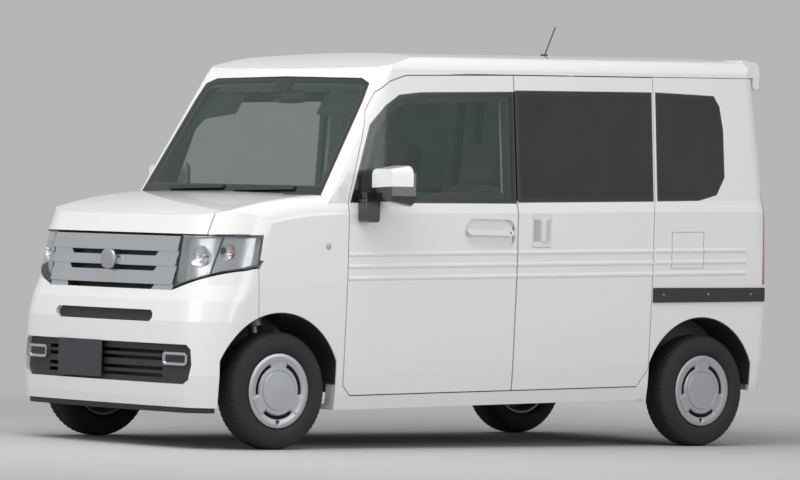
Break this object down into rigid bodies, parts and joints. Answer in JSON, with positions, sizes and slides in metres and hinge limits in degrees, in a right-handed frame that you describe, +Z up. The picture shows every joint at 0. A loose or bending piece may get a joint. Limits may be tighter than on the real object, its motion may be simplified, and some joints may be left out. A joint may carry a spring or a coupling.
{
  "type": "kei car",
  "caption": "Tall white kei car with a short hood, front doors that swing, rear doors that slide, an upward tailgate, round wheel caps and a blank plate.",
  "frame": {"origin": "centre of the bounding box on the ground", "axes": "+Z up, the front of the car faces -Y, +X is the car's left side"},
  "size_m": [1.864, 3.3935, 1.9663],
  "materials": {
    "cabin_plastic": "matte grained",
    "chrome": "polished",
    "engine_iron": "dull",
    "glass_dark": "dark privacy tint",
    "glass_light": "light green tint",
    "grille_dark": "gloss",
    "lamp_bowl": "metallised",
    "lens_clear": "clear",
    "lens_red": "gloss",
    "paint": "gloss pearl",
    "plate_blank": "satin",
    "seal_rubber": "matte",
    "seat_base": "carpet covered",
    "seat_cloth": "woven",
    "steel": "dull",
    "trim_black": "matte",
    "tyre": "matte",
    "underbody": "matte sealed",
    "wheel_silver": "satin silver"
  },
  "bodies": {
    "body": {"antenna": "trim_black", "arch_liners": "trim_black", "body_shell": "paint", "cowl": "trim_black", "dashboard": "cabin_plastic", "engine": "engine_iron", "exhaust": "steel", "floor_pan": "underbody", "fog_lamps": "chrome", "front_bumper": "paint", "front_fenders": "paint", "front_frame": "underbody", "front_lip": "trim_black", "front_seat_backs": "seat_cloth", "front_seat_cushions": "seat_cloth", "fuel_tank": "underbody", "grille": "grille_dark", "headlamp_housings": "lamp_bowl", "headlamp_lenses": "lens_clear", "intake_grilles": "trim_black", "number_plate": "plate_blank", "rear_axle": "underbody", "rear_bumper": "paint", "rear_seat": "seat_cloth", "rear_seat_backs": "seat_cloth", "rear_side_glass": "glass_dark", "roof_panel": "paint", "seals": "seal_rubber", "seat_risers": "seat_base", "slide_rails": "trim_black", "sliding_doors": "paint", "tail_lamps": "lens_red", "windscreen": "glass_light", "wipers": "trim_black"},
    "front_door_left": {"front_door_left": "paint", "front_door_glass_left": "glass_light", "mirror_left": "paint"},
    "front_door_right": {"front_door_right": "paint", "front_door_glass_right": "glass_light", "mirror_right": "paint"},
    "hood": {"hood": "paint"},
    "tailgate": {"tailgate": "paint", "tailgate_glass": "glass_dark"},
    "fuel_lid": {"fuel_lid": "paint"},
    "knuckle_left": {"knuckle_left": "steel"},
    "knuckle_right": {"knuckle_right": "steel"},
    "steering_wheel": {"steering_wheel": "cabin_plastic"},
    "wheel_front_left": {"tyre_front_left": "tyre", "wheel_front_left": "wheel_silver"},
    "wheel_front_right": {"tyre_front_right": "tyre", "wheel_front_right": "wheel_silver"},
    "wheel_rear_left": {"tyre_rear_left": "tyre", "wheel_rear_left": "wheel_silver"},
    "wheel_rear_right": {"tyre_rear_right": "tyre", "wheel_rear_right": "wheel_silver"}
  },
  "joints": [
    {"name": "front_door_left_hinge", "type": "hinge", "parent": "body", "child": "front_door_left", "pos_m": [0.742, -0.871, 0.7], "axis": [0, 0, -1], "range_deg": [0, 68]},
    {"name": "front_door_right_hinge", "type": "hinge", "parent": "body", "child": "front_door_right", "pos_m": [-0.742, -0.871, 0.7], "axis": [0, 0, 1], "range_deg": [0, 68]},
    {"name": "hood_hinge", "type": "hinge", "parent": "body", "child": "hood", "pos_m": [0, -1.034, 1.142], "axis": [-1, 0, 0], "range_deg": [0, 50]},
    {"name": "tailgate_hinge", "type": "hinge", "parent": "body", "child": "tailgate", "pos_m": [0, 1.588, 1.83], "axis": [1, 0, 0], "range_deg": [0, 85]},
    {"name": "fuel_lid_hinge", "type": "hinge", "parent": "body", "child": "fuel_lid", "pos_m": [0.742, 1.057, 0.9], "axis": [0, 0, -1], "range_deg": [0, 100]},
    {"name": "steer_left", "type": "hinge", "parent": "body", "child": "knuckle_left", "pos_m": [0.612, -1.2325, 0.182], "axis": [-0.2061, 0, 0.9785], "range_deg": [-35, 35]},
    {"name": "steer_right", "type": "hinge", "parent": "body", "child": "knuckle_right", "pos_m": [-0.612, -1.2325, 0.182], "axis": [0.2061, 0, 0.9785], "range_deg": [-35, 35]},
    {"name": "steering_wheel_turn", "type": "hinge", "parent": "body", "child": "steering_wheel", "pos_m": [-0.335, -0.56, 0.985], "axis": [0, 0.8829, 0.4695], "range_deg": [-525, 525]},
    {"name": "wheel_front_left_spin", "type": "hinge", "parent": "knuckle_left", "child": "wheel_front_left", "pos_m": [0.655, -1.2325, 0.262], "axis": [1, 0, 0], "continuous": true},
    {"name": "wheel_front_right_spin", "type": "hinge", "parent": "knuckle_right", "child": "wheel_front_right", "pos_m": [-0.655, -1.2325, 0.262], "axis": [1, 0, 0], "continuous": true},
    {"name": "wheel_rear_left_spin", "type": "hinge", "parent": "body", "child": "wheel_rear_left", "pos_m": [0.655, 1.2875, 0.262], "axis": [1, 0, 0], "continuous": true},
    {"name": "wheel_rear_right_spin", "type": "hinge", "parent": "body", "child": "wheel_rear_right", "pos_m": [-0.655, 1.2875, 0.262], "axis": [1, 0, 0], "continuous": true}
  ],
  "couplings": [
    {"joint": "steer_right", "follows": "steer_left", "ratio": 1},
    {"joint": "steering_wheel_turn", "follows": "steer_left", "ratio": 15}
  ]
}
